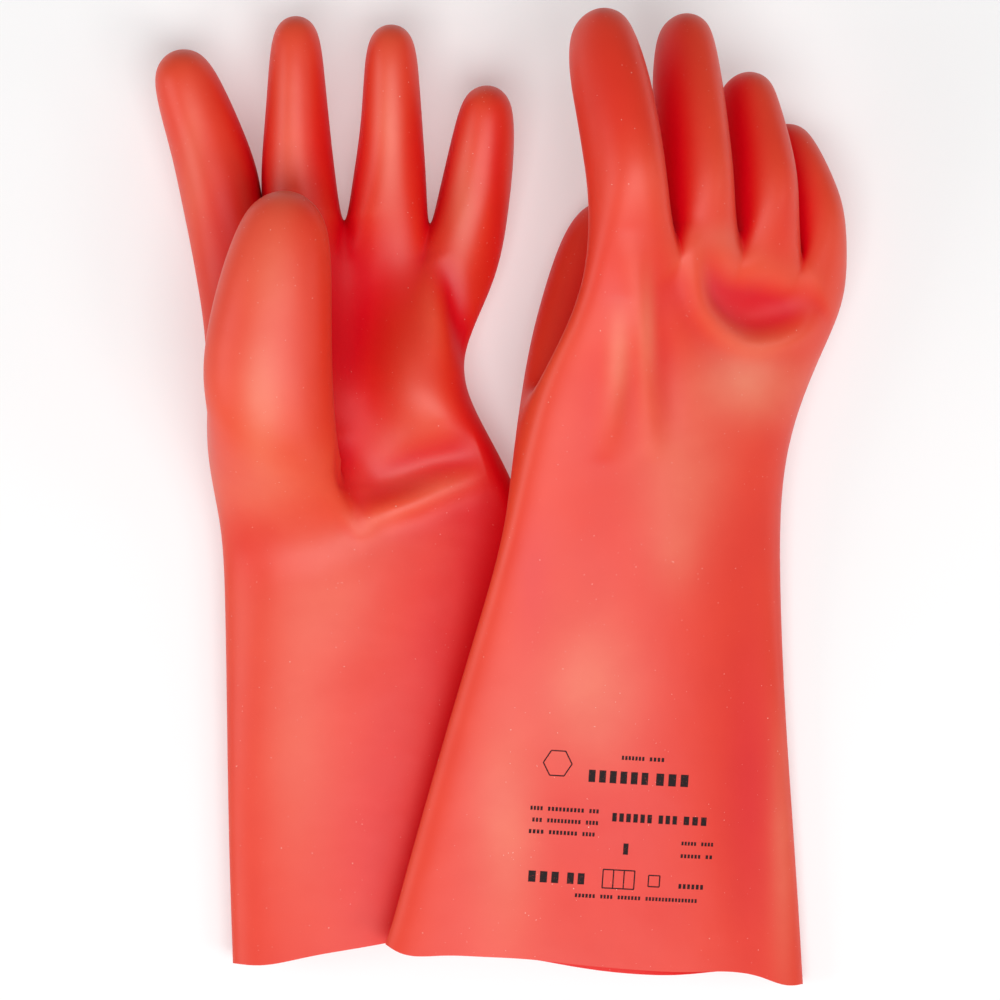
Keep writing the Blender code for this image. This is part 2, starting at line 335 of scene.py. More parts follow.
def add_body(cage):
    """The gauntlet and palm as stacked rings, open at the hem and where the thumb grows."""
    count = len(EVEN_COLUMNS)
    order = ["s"] + [f"f{i}" for i in range(count)]
    order += ["e"] + [f"b{i}" for i in reversed(range(count))]
    low, mid, _ = THUMB_ROWS
    rows = []
    for number, ring in enumerate(section_rings(cage.glove)):
        skipped = ("f0",) if number == mid else ()
        rows.append({k: cage.vert(ring[k]) for k in order if k not in skipped})
    for number in range(len(rows) - 1):
        for i, key in enumerate(order):
            after = order[(i + 1) % len(order)]
            if number in (low, mid) and (key, after) in (("s", "f0"), ("f0", "f1")):
                continue
            below, above = rows[number], rows[number + 1]
            cage.quad([below[key], below[after], above[after], above[key]], 0)
    return rows


def add_digit(cage, name, base):
    """One stall from its base ring to its rounded tip."""
    points = cage.glove["digits"][name]
    part = DIGITS.index(name) + 1
    lower = base
    directions = digit_frames(points)
    for point, along in zip(points, directions):
        upper = [cage.vert(p) for p in digit_ring(cage.glove, name, point, along)]
        cage.tube(lower, upper, part)
        lower = upper
    tip = cage.vert(tip_centre(points[-1], directions[-1]))
    for k in (0, 2, 4, 6):
        cage.quad([lower[k - 1], lower[k], lower[k + 1], tip], part)


def add_fingers(cage, top):
    """Four stalls side by side that share the webs between them."""
    webs = [cage.vert(Vector(p)) for p in cage.glove["webs"]]
    webs = [top["s"]] + webs + [top["e"]]
    for k, name in enumerate(DIGITS[:4]):
        base = [top[f"f{2 * k + i}"] for i in range(3)] + [webs[k + 1]]
        base += [top[f"b{2 * k + i}"] for i in (2, 1, 0)] + [webs[k]]
        add_digit(cage, name, base)


def add_thumb(cage, rows):
    """The thumb stall from the opening left in the side of the palm."""
    low, mid, high = (rows[i] for i in THUMB_ROWS)
    base = [low["s"], low["f0"], low["f1"], mid["f1"]]
    base += [high["f1"], high["f0"], high["s"], mid["s"]]
    add_digit(cage, "thumb", base)


def flex_plane(glove, name):
    """Centre and direction of the plane on which a stall flexes, in metres."""
    points = [Vector(p[0]) * MM for p in glove["digits"][name]]
    lengths = [(b - a).length for a, b in zip(points, points[1:])]
    reach = glove["cut"][name] * sum(lengths)
    for a, b, length in zip(points, points[1:], lengths):
        if reach <= length:
            return a.lerp(b, reach / length), (b - a).normalized()
        reach -= length
    raise ValueError(name)


# Moulded folds and pads that the cage is too coarse for. Each is a path in mm on the table plane
# under the upper skin, how far it reaches to each side, and how far it lifts or sinks the skin.
LEFT_FOLDS = (
    (((-60, 24), (-58, 12), (-55, 1), (-52, -12)), 4.0, -2.6),
    (((-54, -1), (-42, 5), (-24, 14), (-8, 19)), 9.0, -3.0),
    (((-58, -12), (-47, -5), (-34, 0), (-20, 6), (0, 12)), 6.0, 4.0),
    (((-58, 108), (-57, 60), (-52, 4)), 13.0, -5.0),
    (((-22, 92), (-16, 70), (-12, 50)), 5.0, -2.6),
    (((-28, 92), (-23, 62), (-17, 30)), 8.0, 1.6),
)
RIGHT_FOLDS = (
    (((66, 88), (78, 76), (92, 71), (107, 72), (120, 80)), 12.0, -3.8),
    (((68, 102), (71, 86), (77, 69), (92, 59), (110, 62), (121, 71)), 5.0, 3.4),
    (((70, 94), (84, 90), (104, 84), (122, 82)), 6.0, 1.2),
    (((47, 98), (52, 62), (57, 14)), 5.0, 1.6),
    (((58, 92), (60, 56), (64, 18)), 7.0, -0.9),
    (((44, 74), (42, 44), (38, 14)), 5.0, 1.5),
    (((72, 50), (63, -50), (52, -150)), 24.0, 1.6),
    (((99, 10), (96, -90), (97, -190)), 13.0, -2.0),
)
LEFT_CEILING = 47 * MM  # the folds of the palm pass under the thumb that lies over it
RIGHT_CEILING = 200 * MM  # above all of the right glove
CEILING_FADE = 10 * MM
FACING_GAIN = 2.0  # a fold works in full where the skin faces up by at least half
FADE_POWER = 0.8  # how gradually a fold ends
# Waves along the hem: the place across the cuff, its reach and how far the edge moves, in mm.
LEFT_HEM = ((-104, 9, 1.4), (-88, 14, -1.2), (-20, 20, 1.2))
RIGHT_HEM = ((-46, 6, 2.6), (-33, 11, -1.8), (10, 18, 0.8), (88, 16, 1.8), (110, 9, -2.4))
HEM_SAG = (48, 44, -3.0)  # the lower wall of the right cuff shows beyond the upper one
NO_SAG = (0, 1, 0)  # the same form with no shift
HEM_FADE = 16 * MM  # how far up the cuff the waves of the hem reach
# Painted highlights: pale patches where the lights glint on the rubber, given as the middle of each
# patch, its reach both ways and its strength.
LEFT_PAINTED_HIGHLIGHTS = (
    ((-78, -92), 14, 50, 0.30),
    ((-66, -38), 18, 22, 0.30),
    ((-66, -14), 30, 11, 0.30),
    ((-88, 36), 8, 26, 0.65),
    ((-84, 84), 9, 22, 0.35),
    ((-86, 4), 20, 13, 0.45),
    ((-28, 6), 22, 6, 0.45),
    ((-26, 24), 12, 12, 0.30),
    ((-116, 128), 5, 26, 0.35),
    ((-80, 134), 5, 26, 0.40),
    ((-42, 140), 5, 26, 0.45),
    ((-14, 116), 5, 24, 0.50),
)
RIGHT_PAINTED_HIGHLIGHTS = (
    ((93, 44), 22, 14, 0.90),
    ((68, 12), 17, 24, 0.55),
    ((44, 50), 4, 18, 0.55),
    ((54, 62), 3, 22, 0.45),
    ((34, -72), 18, 26, 0.60),
    ((2, -122), 12, 40, 0.50),
    ((66, -18), 10, 16, 0.40),
    ((108, -128), 5, 50, 0.45),
    ((82, 97), 10, 5, 0.30),
)
# Patches of painted shade: places kept deep red where the rubber lies in shade, in the same form.
LEFT_PAINTED_SHADE = (
    ((-60, 62), 10, 44, 0.60),
    ((-1, 122), 4, 36, 0.80),
    ((-33, 128), 4, 26, 0.60),
    ((-69, 128), 4, 24, 0.60),
    ((-103, 112), 6, 14, 0.60),
    ((-10, 50), 5, 13, 0.80),
    ((-2, 26), 4, 13, 0.80),
    ((-8, -20), 10, 26, 0.60),
    ((-26, -56), 12, 32, 0.45),
    ((-42, -100), 12, 36, 0.40),
    ((-50, -140), 12, 34, 0.40),
)
RIGHT_PAINTED_SHADE = (
    ((42, 150), 22, 36, 0.60),
    ((64, 150), 7, 40, 0.60),
    ((90, 132), 6, 32, 0.60),
    ((108, 115), 6, 24, 0.60),
    ((97, -112), 14, 42, 0.45),
    ((48, -118), 22, 22, 0.20),
    ((12, -30), 7, 26, 0.50),
)
# Each form also holds patches of painted highlight and, under "deep", patches of painted shade.
LEFT_FORM = {
    "folds": LEFT_FOLDS,
    "ceiling": LEFT_CEILING,
    "hem": LEFT_HEM,
    "sag": NO_SAG,
    "painted_highlight": LEFT_PAINTED_HIGHLIGHTS,
    "deep": LEFT_PAINTED_SHADE,
}
RIGHT_FORM = {
    "folds": RIGHT_FOLDS,
    "ceiling": RIGHT_CEILING,
    "hem": RIGHT_HEM,
    "sag": HEM_SAG,
    "painted_highlight": RIGHT_PAINTED_HIGHLIGHTS,
    "deep": RIGHT_PAINTED_SHADE,
}
SMOOTHING = 4  # levels of subdivision
HEM_LIMIT = -0.1  # of all the open edges, only the hem has a y below this, in metres
CALM_PASSES = 60  # rounds of smoothing that level the skin where hollows are measured
HOLLOW_DEPTH = 1.2 * MM  # a hollow of this depth counts in full
TINY = 1e-12  # keeps a face without area from a division by zero


def add_object(name, data):
    """A new object in the scene."""
    made = bpy.data.objects.new(name, data)
    bpy.context.scene.collection.objects.link(made)
    return made


def smooth_surface(glove):
    """The glove's cage subdivided: vertex places, quads and the part of the glove each is on."""
    cage = Cage(glove)
    rows = add_body(cage)
    add_fingers(cage, rows[-1])
    add_thumb(cage, rows)
    bmesh.ops.recalc_face_normals(cage.mesh, faces=cage.mesh.faces)
    data = bpy.data.meshes.new("cage")
    cage.mesh.to_mesh(data)
    cage.mesh.free()
    holder = add_object("cage", data)
    modifier = holder.modifiers.new("smooth", "SUBSURF")
    modifier.levels = SMOOTHING
    modifier.render_levels = SMOOTHING
    graph = bpy.context.evaluated_depsgraph_get()
    shaped = bpy.data.meshes.new_from_object(holder.evaluated_get(graph))
    bpy.data.objects.remove(holder)
    bpy.data.meshes.remove(data)
    return shaped


def vertex_array(mesh, normals=False):
    """Places or normals of a mesh's vertices as rows."""
    values = np.zeros(len(mesh.vertices) * 3, np.float32)
    if normals:
        mesh.vertex_normals.foreach_get("vector", values)
    else:
        mesh.vertices.foreach_get("co", values)
    return values.reshape(-1, 3).astype(float)


def move_vertices(surface, places):
    """Puts the vertices of a mesh at new places."""
    surface.vertices.foreach_set("co", places.ravel())
    surface.update()


def rounded_path(path, steps=8):
    """A path in metres through the given points in mm, without corners."""
    spots = [2 * np.array(path[0]) - path[1], *np.array(path, float)]
    spots.append(2 * spots[-1] - spots[-2])
    found = []
    for before, a, b, after in zip(spots, spots[1:], spots[2:], spots[3:]):
        for t in np.arange(steps) / steps:
            bend = 2 * before - 5 * a + 4 * b - after
            twist = 3 * a - before - 3 * b + after
            found.append(a + 0.5 * ((b - before) * t + bend * t**2 + twist * t**3))
    return np.array([*found, spots[-2]]) * MM


def path_distance(spots, path):
    """How far each spot on the table plane is from a path, and how far along the path it is."""
    nearest = np.full(len(spots), np.inf)
    along = np.zeros(len(spots))
    for number, (a, b) in enumerate(zip(path, path[1:])):
        run = b - a
        share = np.clip((spots - a) @ run / (run @ run), 0, 1)
        distance = np.linalg.norm(spots - a - share[:, None] * run, axis=1)
        closer = distance < nearest
        nearest[closer] = distance[closer]
        along[closer] = (number + share[closer]) / (len(path) - 1)
    return nearest, along


def press_folds(surface, folds, ceiling):
    """Lifts and sinks the upper skin below the ceiling along each fold, which fades at its ends."""
    places = vertex_array(surface)
    normals = vertex_array(surface, normals=True)
    facing = np.clip(normals[:, 2] * FACING_GAIN, 0, 1)
    facing *= np.clip((ceiling - places[:, 2]) / CEILING_FADE, 0, 1)
    move = np.zeros(len(places))
    for path, reach, lift in folds:
        distance, along = path_distance(places[:, :2], rounded_path(path))
        fade = np.sin(np.pi * along) ** FADE_POWER
        move += lift * MM * np.exp(-((distance / (reach * MM)) ** 2)) * facing * fade
    places += normals * move[:, None]
    places[:, 2] = np.maximum(places[:, 2], 0)
    move_vertices(surface, places)


def hem_shift(across, wave):
    """How far one wave moves each spot across the cuff, in mm."""
    place, reach, shift = wave
    return shift * np.exp(-(((across - place) / reach) ** 2))


def wave_hem(surface, waves, sag):
    """Moves the edge of the cuff up and down the arm a little, and the lower wall with the sag."""
    places = vertex_array(surface)
    low = vertex_array(surface, normals=True)[:, 2] < 0
    quads, _ = part_quads(surface)
    hem = places[np.unique(border_edges(quads))]
    slope, level = np.polyfit(hem[:, 0], hem[:, 1], 1)
    height = np.maximum(places[:, 1] - slope * places[:, 0] - level, 0)
    fade = np.exp(-((height / HEM_FADE) ** 2))
    across = places[:, 0] / MM
    move = np.zeros(len(places))
    for wave in waves:
        move += hem_shift(across, wave)
    move += hem_shift(across, sag) * low
    places[:, 1] += move * MM * fade
    move_vertices(surface, places)


def hollowness(places, normals, quads):
    """How deep each spot lies in a hollow, from -1 on a ridge to 1, over about 8 mm."""
    edges = np.concatenate([quads[:, [i, (i + 1) % 4]] for i in range(4)])
    edges = np.concatenate([edges, edges[:, ::-1]])
    count = np.bincount(edges[:, 0], minlength=len(places))[:, None]
    calm = places.copy()
    for _ in range(CALM_PASSES):
        total = [np.bincount(edges[:, 0], calm[edges[:, 1], i], len(places)) for i in range(3)]
        calm = np.stack(total, axis=1) / np.maximum(count, 1)
    depth = ((calm - places) * normals).sum(axis=1)
    return np.clip(depth / HOLLOW_DEPTH, -1, 1)


def patch_cover(places, patches):
    """How strongly the soft patches cover each spot, from 0 to 1."""
    bare = np.ones(len(places))
    for (x, y), reach_x, reach_y, strength in patches:
        across = (places[:, 0] / MM - x) / reach_x
        up = (places[:, 1] / MM - y) / reach_y
        bare *= 1 - strength * np.exp(-(across**2) - up**2)
    return 1 - bare


def part_quads(mesh):
    """The corner indices of every quad and the part of the glove that it is on."""
    corners = np.zeros(len(mesh.polygons) * 4, np.int32)
    mesh.polygons.foreach_get("vertices", corners)
    parts = np.zeros(len(mesh.polygons), np.int32)
    mesh.polygons.foreach_get("material_index", parts)
    return corners.reshape(-1, 4), parts


def border_edges(quads):
    """Directed edges that only one quad uses."""
    edges = np.concatenate([quads[:, [i, (i + 1) % 4]] for i in range(4)])
    ordered = np.sort(edges, axis=1)
    _, first, count = np.unique(ordered, axis=0, return_index=True, return_counts=True)
    return edges[first[count == 1]]


def add_marks(mesh, marks):
    """Stores each named list of values on the mesh for its material to read."""
    for name, values in marks.items():
        layer = mesh.attributes.new(name, "FLOAT", "POINT")
        layer.data.foreach_set("value", np.concatenate(values).astype(np.float32))


def rubber_shell(name, places, normals, quads, hollow, painted_highlight):
    """A wall of rubber: the outer quads, an inner copy and a flat rim round the hem."""
    used, local = np.unique(quads, return_inverse=True)
    local = local.reshape(-1, 4)
    outer = places[used]
    outward = normals[used]
    inner = outer - outward * WALL
    count = len(used)
    faces = [list(map(int, q)) for q in local]
    faces += [[int(i) + count for i in q[::-1]] for q in local]
    points = [outer, inner]
    vertex_normals = [outward, -outward]
    marks = {
        "hollow": [hollow[used], -hollow[used]],
        "painted_highlight": [painted_highlight[used], np.zeros(count)],
    }
    rim = [e for e in border_edges(local) if (outer[e][:, 1] < HEM_LIMIT).all()]
    base = 2 * count
    for a, b in rim:
        corners = np.array([outer[b], outer[a], inner[a], inner[b]])
        flat = np.cross(corners[1] - corners[0], corners[3] - corners[0])
        flat /= max(np.linalg.norm(flat), TINY)
        points.append(corners)
        vertex_normals.append(np.repeat(flat[None], 4, axis=0))
        for values in marks.values():
            values.append(np.zeros(4))
        faces.append([base, base + 1, base + 2, base + 3])
        base += 4
    mesh = bpy.data.meshes.new(name)
    mesh.from_pydata(np.concatenate(points).tolist(), [], faces)
    mesh.polygons.foreach_set("use_smooth", [True] * len(mesh.polygons))
    mesh.normals_split_custom_set_from_vertices(np.concatenate(vertex_normals).tolist())
    add_marks(mesh, marks)
    return add_object(name, mesh)


def build_skin(glove, form, material):
    """The hand and the digits of one glove, cut from one smooth skin, which is returned."""
    surface = smooth_surface(glove)
    press_folds(surface, form["folds"], form["ceiling"])
    wave_hem(surface, form["hem"], form["sag"])
    places = vertex_array(surface)
    normals = vertex_array(surface, normals=True)
    quads, parts = part_quads(surface)
    # Painted shade: the hollows of the skin and the "deep" patches are stored together for the
    # material to darken to deep red.
    hollow = hollowness(places, normals, quads) + patch_cover(places, form["deep"])
    # Painted highlight: pale patches stored on the mesh for the material to mix in.
    painted_highlight = patch_cover(places, form["painted_highlight"])
    side = glove["name"]
    hand = rubber_shell(side + "_glove_hand", places, normals, quads[parts == 0], hollow, painted_highlight)
    hand.data.materials.append(material)
    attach(hand, side + "_hand")
    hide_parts(side + "_hand")
    for part, name in enumerate(DIGITS, start=1):
        piece = rubber_shell(
            f"{side}_glove_{name}", places, normals, quads[parts == part], hollow, painted_highlight
        )
        piece.data.materials.append(material)
        centre, along = flex_plane(glove, name)
        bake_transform(piece)
        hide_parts(f"{side}_{name}")
    faces = [tuple(map(int, q)) for q in quads]
    bpy.data.meshes.remove(surface)
    return BVHTree.FromPolygons(places.tolist(), faces)


# Colours of the rubber from painted shade in the hollows to painted light on the ridges, then of
# its painted highlight and of its dust.
PAINTED_SHADE_RED = (0.78, 0.0, 0.009)
MID_RED = (0.86, 0.040, 0.012)
PAINTED_LIGHT_RED = (0.89, 0.080, 0.028)
PAINTED_HIGHLIGHT_RED = (0.91, 0.25, 0.145)
DUST = (0.9, 0.45, 0.38)
# Every noise: waves per metre and levels of detail.
CLOUD_NOISE = (38, 4)
SPECK_NOISE = (1100, 1)
WOBBLE_NOISE = (45, 2)
SMEAR_NOISE = (25, 3)
INK_NOISE = (1400, 2)
# Every ramp: positions and colours.
TONE_STOPS = ((0.0, PAINTED_SHADE_RED), (0.55, MID_RED), (1.0, PAINTED_LIGHT_RED))
CLOUD_STOPS = ((0.3, (0.93, 0.72, 0.75)), (0.7, (1, 1, 1)))
SPECK_STOPS = ((0.78, (0, 0, 0)), (0.81, (1, 1, 1)))
OPEN_STOPS = ((0.42, (0, 0, 0)), (0.92, (1, 1, 1)))
INK_STOPS = ((0.58, (0.018, 0.011, 0.012)), (0.80, (0.25, 0.03, 0.025)))
# Every range: its limits, which are 0 and 1 where they are not given.
RIDGE_RANGE = {"From Min": 1.0, "From Max": -1.0}  # from hollow to ridge
PAINTED_HIGHLIGHT_RANGE = {"From Min": 0.3, "From Max": 0.7, "To Min": 0.7}
MIRROR_RANGE = {"To Min": 0.04, "To Max": 0.5}
GLOSS_RANGE = {"To Min": 0.38, "To Max": 0.52}
MOTTLING = 0.6  # strength of the clouds
SHADE_REACH = 45 * MM  # how near other rubber must be for a place to be painted deep red as shade
SHADE_SAMPLES = 8
BUMP = {"Strength": 0.35, "Distance": 0.9 * MM}
RUBBER_FINISH = {
    "IOR": 1.52,
    "Sheen Weight": 0.05,
    "Sheen Roughness": 0.35,
    "Sheen Tint": (1.0, 0.75, 0.7, 1),
}
INK_FINISH = {"Roughness": 0.7, "Specular IOR Level": 0.2}


def new_material(name):
    """A material, its node tree and its shader."""
    material = bpy.data.materials.new(name)
    material.use_nodes = True
    tree = material.node_tree
    return material, tree, tree.nodes["Principled BSDF"]


def set_inputs(node, values):
    """Sets the named inputs of a node."""
    for name, value in values.items():
        node.inputs[name].default_value = value


def add_node(tree, kind, place, **values):
    """A node of a kind at a place in the node editor, with the named properties set."""
    node = tree.nodes.new(kind)
    node.location = place
    for key, value in values.items():
        setattr(node, key, value)
    return node


def link(tree, source, output, target, socket):
    """Joins an output of one node to an input of another."""
    tree.links.new(source.outputs[output], target.inputs[socket])


def noise_node(tree, coordinates, noise, place):
    """Noise over the object's own coordinates."""
    scale, detail = noise
    node = add_node(tree, "ShaderNodeTexNoise", place)
    set_inputs(node, {"Scale": scale, "Detail": detail})
    link(tree, coordinates, "Object", node, "Vector")
    return node


def ramp_node(tree, source, output, stops, place):
    """A colour ramp over the output of another node."""
    ramp = add_node(tree, "ShaderNodeValToRGB", place)
    elements = ramp.color_ramp.elements
    while len(elements) < len(stops):
        elements.new(0.5)
    for element, (spot, colour) in zip(elements, stops):
        element.position = spot
        element.color = (*colour, 1)
    link(tree, source, output, ramp, "Fac")
    return ramp


def range_node(tree, source, output, limits, place):
    """The output of another node moved from one range into another."""
    node = add_node(tree, "ShaderNodeMapRange", place)
    set_inputs(node, limits)
    link(tree, source, output, node, "Value")
    return node


def mix_node(tree, blend, factor, place):
    """A mix of two colours."""
    mix = add_node(tree, "ShaderNodeMix", place, data_type="RGBA", blend_type=blend)
    mix.inputs["Factor"].default_value = factor
    return mix


def painted_highlight_amount(tree, cloud):
    """The painted highlight stored on the mesh, broken up by clouds."""
    stored = add_node(tree, "ShaderNodeAttribute", (-1300, -600), attribute_name="painted_highlight")
    patches = range_node(tree, cloud, "Fac", PAINTED_HIGHLIGHT_RANGE, (-900, -600))
    amount = add_node(tree, "ShaderNodeMath", (-700, -600), operation="MULTIPLY")
    link(tree, stored, "Fac", amount, 0)
    link(tree, patches, "Result", amount, 1)
    return amount


def rubber_colour(tree, coordinates):
    """The colour of the rubber, and how open each place is to the light.

    It has painted shade, deep red, in the hollows, in the listed patches and near other rubber,
    painted light on the ridges, cloudy mottling, pale patches of painted highlight and specks of
    dust.
    """
    # Painted shade and light: deep red in the hollows and the patches of painted shade, paler on
    # the ridges.
    depth = add_node(tree, "ShaderNodeAttribute", (-1300, 200), attribute_name="hollow")
    height = range_node(tree, depth, "Fac", RIDGE_RANGE, (-1100, 200))
    tone = ramp_node(tree, height, "Result", TONE_STOPS, (-900, 200))
    cloud = noise_node(tree, coordinates, CLOUD_NOISE, (-1100, -100))
    clouds = ramp_node(tree, cloud, "Fac", CLOUD_STOPS, (-900, -100))
    mottled = mix_node(tree, "MULTIPLY", MOTTLING, (-600, 100))
    link(tree, tone, "Color", mottled, "A")
    link(tree, clouds, "Color", mottled, "B")
    # Painted highlight: the pale colour is mixed in where the patches lie.
    highlighted = mix_node(tree, "MIX", 0.0, (-450, 100))
    highlighted.inputs["B"].default_value = (*PAINTED_HIGHLIGHT_RED, 1)
    link(tree, painted_highlight_amount(tree, cloud), "Value", highlighted, "Factor")
    link(tree, mottled, "Result", highlighted, "A")
    grit = noise_node(tree, coordinates, SPECK_NOISE, (-1100, -350))
    specks = ramp_node(tree, grit, "Fac", SPECK_STOPS, (-900, -350))
    dusty = mix_node(tree, "MIX", 0.0, (-250, 50))
    dusty.inputs["B"].default_value = (*DUST, 1)
    link(tree, specks, "Color", dusty, "Factor")
    link(tree, highlighted, "Result", dusty, "A")
    # Painted shade: where other rubber is near, ambient occlusion turns the colour deep red and
    # also lowers the specular level.
    shelter = add_node(tree, "ShaderNodeAmbientOcclusion", (-350, 350), samples=SHADE_SAMPLES)
    shelter.inputs["Distance"].default_value = SHADE_REACH
    open_air = ramp_node(tree, shelter, "AO", OPEN_STOPS, (-150, 350))
    deepened = mix_node(tree, "MIX", 0.0, (100, 150))
    deepened.inputs["A"].default_value = (*PAINTED_SHADE_RED, 1)
    link(tree, open_air, "Color", deepened, "Factor")
    link(tree, dusty, "Result", deepened, "B")
    return deepened, open_air


def rubber_material(name):
    """Dipped natural rubber: saturated red and satin, with uneven gloss and a faint wobble."""
    material, tree, shader = new_material(name)
    coordinates = add_node(tree, "ShaderNodeTexCoord", (-1500, 0))
    colour, open_air = rubber_colour(tree, coordinates)
    link(tree, colour, "Result", shader, "Base Color")
    mirrored = range_node(tree, open_air, "Color", MIRROR_RANGE, (100, 400))
    link(tree, mirrored, "Result", shader, "Specular IOR Level")
    wobble = noise_node(tree, coordinates, WOBBLE_NOISE, (-700, -800))
    bump = add_node(tree, "ShaderNodeBump", (-400, -800))
    set_inputs(bump, BUMP)
    link(tree, wobble, "Fac", bump, "Height")
    link(tree, bump, "Normal", shader, "Normal")
    smear = noise_node(tree, coordinates, SMEAR_NOISE, (-700, -300))
    gloss = range_node(tree, smear, "Fac", GLOSS_RANGE, (-400, -300))
    link(tree, gloss, "Result", shader, "Roughness")
    set_inputs(shader, RUBBER_FINISH)
    return material


# The printed block on the right cuff says nothing: plain ticks stand where print would be.
# Each line of ticks: the left end, the height up the block, the tick height and its groups.
PRINT_CENTRE = (47, -123)
PRINT_TURN = math.radians(-4)
PRINT_GAP = 1.6  # between two groups of ticks in a line, in mm
PRINT_LINES = (
    (-3, 26.0, 1.5, (9, 6)),
    (-15, 18.5, 4.6, (24, 14)),
    (-36, 5.2, 1.5, (5, 14, 4)),
    (-35, 0.8, 1.5, (4, 13, 5)),
    (-36, -3.6, 1.5, (6, 11, 5)),
    (-5, 3.4, 3.2, (16, 8, 10)),
    (0, -8.4, 4.2, (3,)),
    (22, -5.2, 1.4, (6, 5)),
    (22, -10.0, 1.4, (8, 3)),
    (-35, -20.5, 4.2, (13, 8)),
    (22, -21.5, 1.8, (10,)),
    (-17, -26.8, 1.4, (8, 5, 9, 20)),
)
CELL_BOX = ((-7, -23.5), 4.0, 7.0, 3)  # lower left corner, cell width, height and number of cells
RING_MARK = ((-27, 22.5), 5.4, 6)  # centre, radius and corners of an empty outline
SQUARE_MARK = ((12.5, -20.0), 3.0, 4)
FINE_LINE = 0.45  # width of the lines of the cells and the marks, in mm
TICK_PITCH = 0.9  # from one tick to the next, as a share of their height
TICK_SHARE = 0.62  # the part of the pitch that is inked
INK_HEIGHT = 0.06 * MM  # how far the ink reaches above and below the skin
INK_STEP = 1.5  # the longest stretch of ink without a bend, in mm
DROP_HEIGHT = 200  # a height above both gloves, in mm


def outline(centre, radius, corners):
    """The sides of a regular outline as strokes."""
    turns = [2 * math.pi * (k + 0.5) / corners for k in range(corners + 1)]
    spots = [(centre[0] + radius * math.sin(t), centre[1] + radius * math.cos(t)) for t in turns]
    return [(a, b, FINE_LINE) for a, b in zip(spots, spots[1:])]


def print_strokes():
    """Every printed bar and line as a start, an end and a width in mm."""
    strokes = []
    for left, level, width, lengths in PRINT_LINES:
        for length in lengths:
            count = max(1, round(length / (width * TICK_PITCH)))
            pitch = length / count
            for k in range(count):
                x = left + k * pitch
                strokes.append(((x, level), (x + pitch * TICK_SHARE, level), width))
            left += length + PRINT_GAP
    (left, low), cell, tall, count = CELL_BOX
    for k in range(count + 1):
        x = left + k * cell
        strokes.append(((x, low), (x, low + tall), FINE_LINE))
    for y in (low, low + tall):
        strokes.append(((left, y), (left + count * cell, y), FINE_LINE))
    return strokes + outline(*RING_MARK) + outline(*SQUARE_MARK)


def on_cuff(skin, spot):
    """A place on the block dropped onto the upper skin: the point and the normal there."""
    x, y = spot
    turned_x = x * math.cos(PRINT_TURN) - y * math.sin(PRINT_TURN)
    turned_y = x * math.sin(PRINT_TURN) + y * math.cos(PRINT_TURN)
    above = Vector((PRINT_CENTRE[0] + turned_x, PRINT_CENTRE[1] + turned_y, DROP_HEIGHT)) * MM
    point, normal, _, _ = skin.ray_cast(above, Vector((0, 0, -1)))
    return point, normal


def add_stroke(mesh, skin, start, end, width):
    """One closed sliver of ink that follows the skin."""
    start, end = Vector(start), Vector(end)
    along = (end - start).normalized()
    side = Vector((-along.y, along.x)) * width / 2
    steps = max(1, math.ceil((end - start).length / INK_STEP))
    sides = max(1, math.ceil(width / INK_STEP))
    layers = ([], [])
    for i in range(steps + 1):
        for j in range(sides + 1):
            spot = start.lerp(end, i / steps) + side * (2 * j / sides - 1)
            point, normal = on_cuff(skin, spot)
            layers[0].append(mesh.verts.new(point + normal * INK_HEIGHT))
            layers[1].append(mesh.verts.new(point - normal * INK_HEIGHT))
    row = sides + 1
    for i in range(steps):
        for j in range(sides):
            corners = [i * row + j, (i + 1) * row + j, (i + 1) * row + j + 1, i * row + j + 1]
            mesh.faces.new([layers[0][c] for c in corners])
            mesh.faces.new([layers[1][c] for c in corners[::-1]])
    ring = [i * row for i in range(steps + 1)]
    ring += [steps * row + j for j in range(1, row)]
    ring += [i * row + sides for i in range(steps - 1, -1, -1)]
    ring += list(range(sides - 1, 0, -1))
    for a, b in zip(ring, ring[1:] + ring[:1]):
        mesh.faces.new([layers[0][b], layers[0][a], layers[1][a], layers[1][b]])


def ink_material():
    """Black stamping ink that the rubber shows through in places."""
    material, tree, shader = new_material("stamping_ink")
    coordinates = add_node(tree, "ShaderNodeTexCoord", (-900, 0))
    wear = noise_node(tree, coordinates, INK_NOISE, (-700, 0))
    tone = ramp_node(tree, wear, "Fac", INK_STOPS, (-450, 0))
    link(tree, tone, "Color", shader, "Base Color")
    set_inputs(shader, INK_FINISH)
    return material


def build_print(skin):
    """The printed block as one piece of ink on the right cuff."""
    mesh = bmesh.new()
    for start, end, width in print_strokes():
        add_stroke(mesh, skin, start, end, width)
    bmesh.ops.recalc_face_normals(mesh, faces=mesh.faces)
    data = bpy.data.meshes.new("right_cuff_print")
    mesh.to_mesh(data)
    mesh.free()
    data.materials.append(ink_material())
    piece = add_object("right_cuff_print", data)
    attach(piece, "right_hand")


FLOOR_REACH = 6.0  # metres from the middle to each side
FLOOR_LEVEL = -0.2 * MM
FLOOR_PAINT = {
    "Base Color": (0.74, 0.74, 0.74, 1),
    "Roughness": 0.8,
    "Emission Color": (1, 1, 1, 1),
    "Emission Strength": 0.28,
}


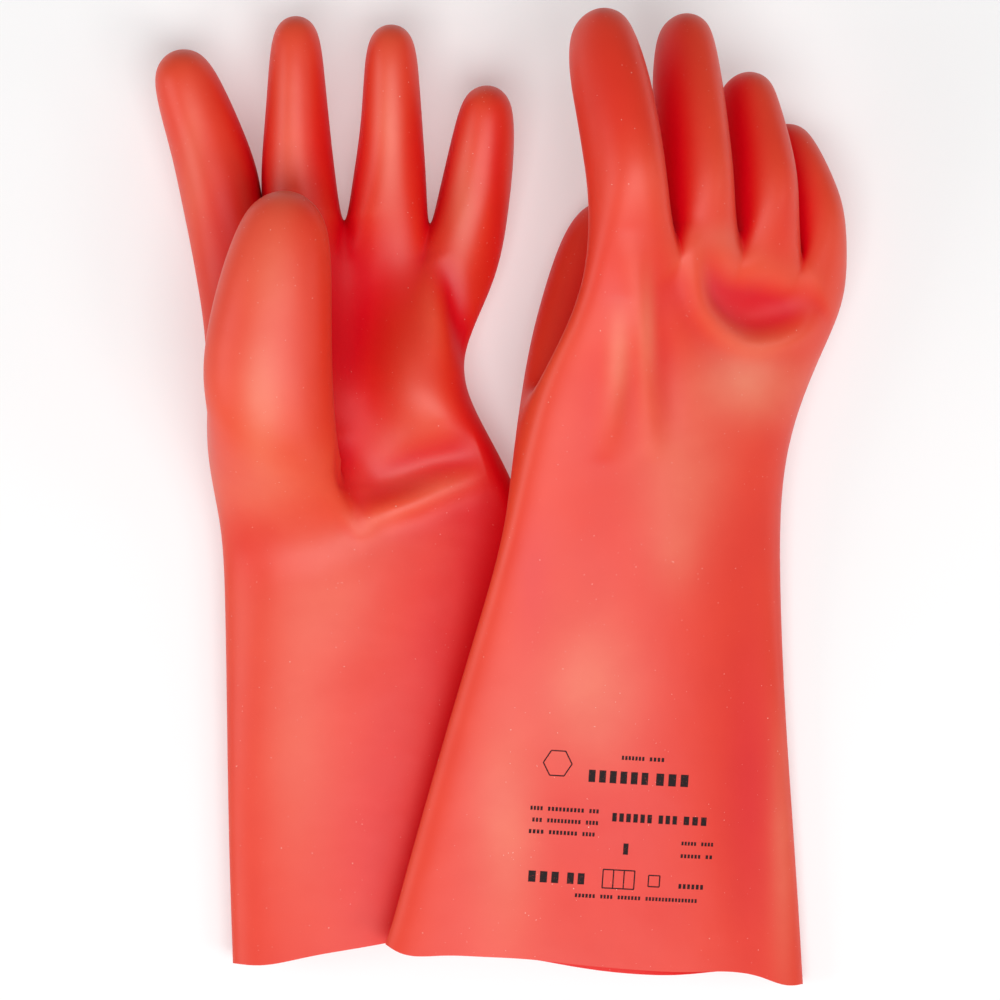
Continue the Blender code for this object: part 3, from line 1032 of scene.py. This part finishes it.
def build_floor():
    """A plain pale floor, which glows slightly so that it stays as pale as a light table."""
    signs = ((-1, -1), (1, -1), (1, 1), (-1, 1))
    data = bpy.data.meshes.new("floor")
    corners = [(x * FLOOR_REACH, y * FLOOR_REACH, 0) for x, y in signs]
    data.from_pydata(corners, [], [(0, 1, 2, 3)])
    paint, _, shader = new_material("floor_paint")
    set_inputs(shader, FLOOR_PAINT)
    data.materials.append(paint)
    floor = add_object("floor", data)
    floor.location.z = FLOOR_LEVEL


# Every softbox: place, width and height in metres, and radiance. The key leans to the cuffs.
SOFTBOXES = {
    "key": ((0.05, -0.62, 1.70), 1.6, 0.9, 5.0),
    "right_front": ((1.00, -0.75, 1.30), 0.5, 0.5, 5.0),
    "right_rim": ((1.35, -0.10, 0.75), 0.5, 0.5, 2.0),
    "left_rim": ((-1.40, -0.20, 0.80), 0.7, 0.7, 4.0),
}
WORLD_STRENGTH = 0.18


def add_softbox(name, place, width, height, radiance):
    """A flat light that faces the middle of the gloves."""
    lamp = bpy.data.lights.new(name, "AREA")
    lamp.shape = "RECTANGLE"
    lamp.size = width
    lamp.size_y = height
    lamp.energy = radiance * math.pi * width * height
    holder = add_object(name, lamp)
    holder.location = place
    holder.rotation_euler = (-Vector(place)).to_track_quat("-Z", "Y").to_euler()


def light_studio():
    """A dim white world and the softboxes."""
    world = bpy.data.worlds.new("studio")
    world.use_nodes = True
    backdrop = world.node_tree.nodes["Background"]
    backdrop.inputs["Color"].default_value = (1, 1, 1, 1)
    backdrop.inputs["Strength"].default_value = WORLD_STRENGTH
    bpy.context.scene.world = world
    for name, (place, width, height, radiance) in SOFTBOXES.items():
        add_softbox(name, place, width, height, radiance)
    bpy.context.scene.view_settings.view_transform = "Standard"


CAMERA_HEIGHT = 1.5  # metres above the table
VIEW_WIDTH = 0.385  # metres of the table that are seen
SENSOR = 36.0  # mm


def add_camera():
    """A camera straight above the gloves."""
    data = bpy.data.cameras.new("camera")
    data.sensor_width = SENSOR
    data.lens = SENSOR * CAMERA_HEIGHT / VIEW_WIDTH
    camera = add_object("camera", data)
    camera.location = (0, 0, CAMERA_HEIGHT)
    bpy.context.scene.camera = camera


def main():
    """Builds the gloves, the print, the floor, the lights and the camera."""
    rubber = rubber_material("natural_rubber")
    build_skin(LEFT, LEFT_FORM, rubber)
    right_skin = build_skin(RIGHT, RIGHT_FORM, rubber)
    build_print(right_skin)
    build_floor()
    light_studio()
    add_camera()


main()
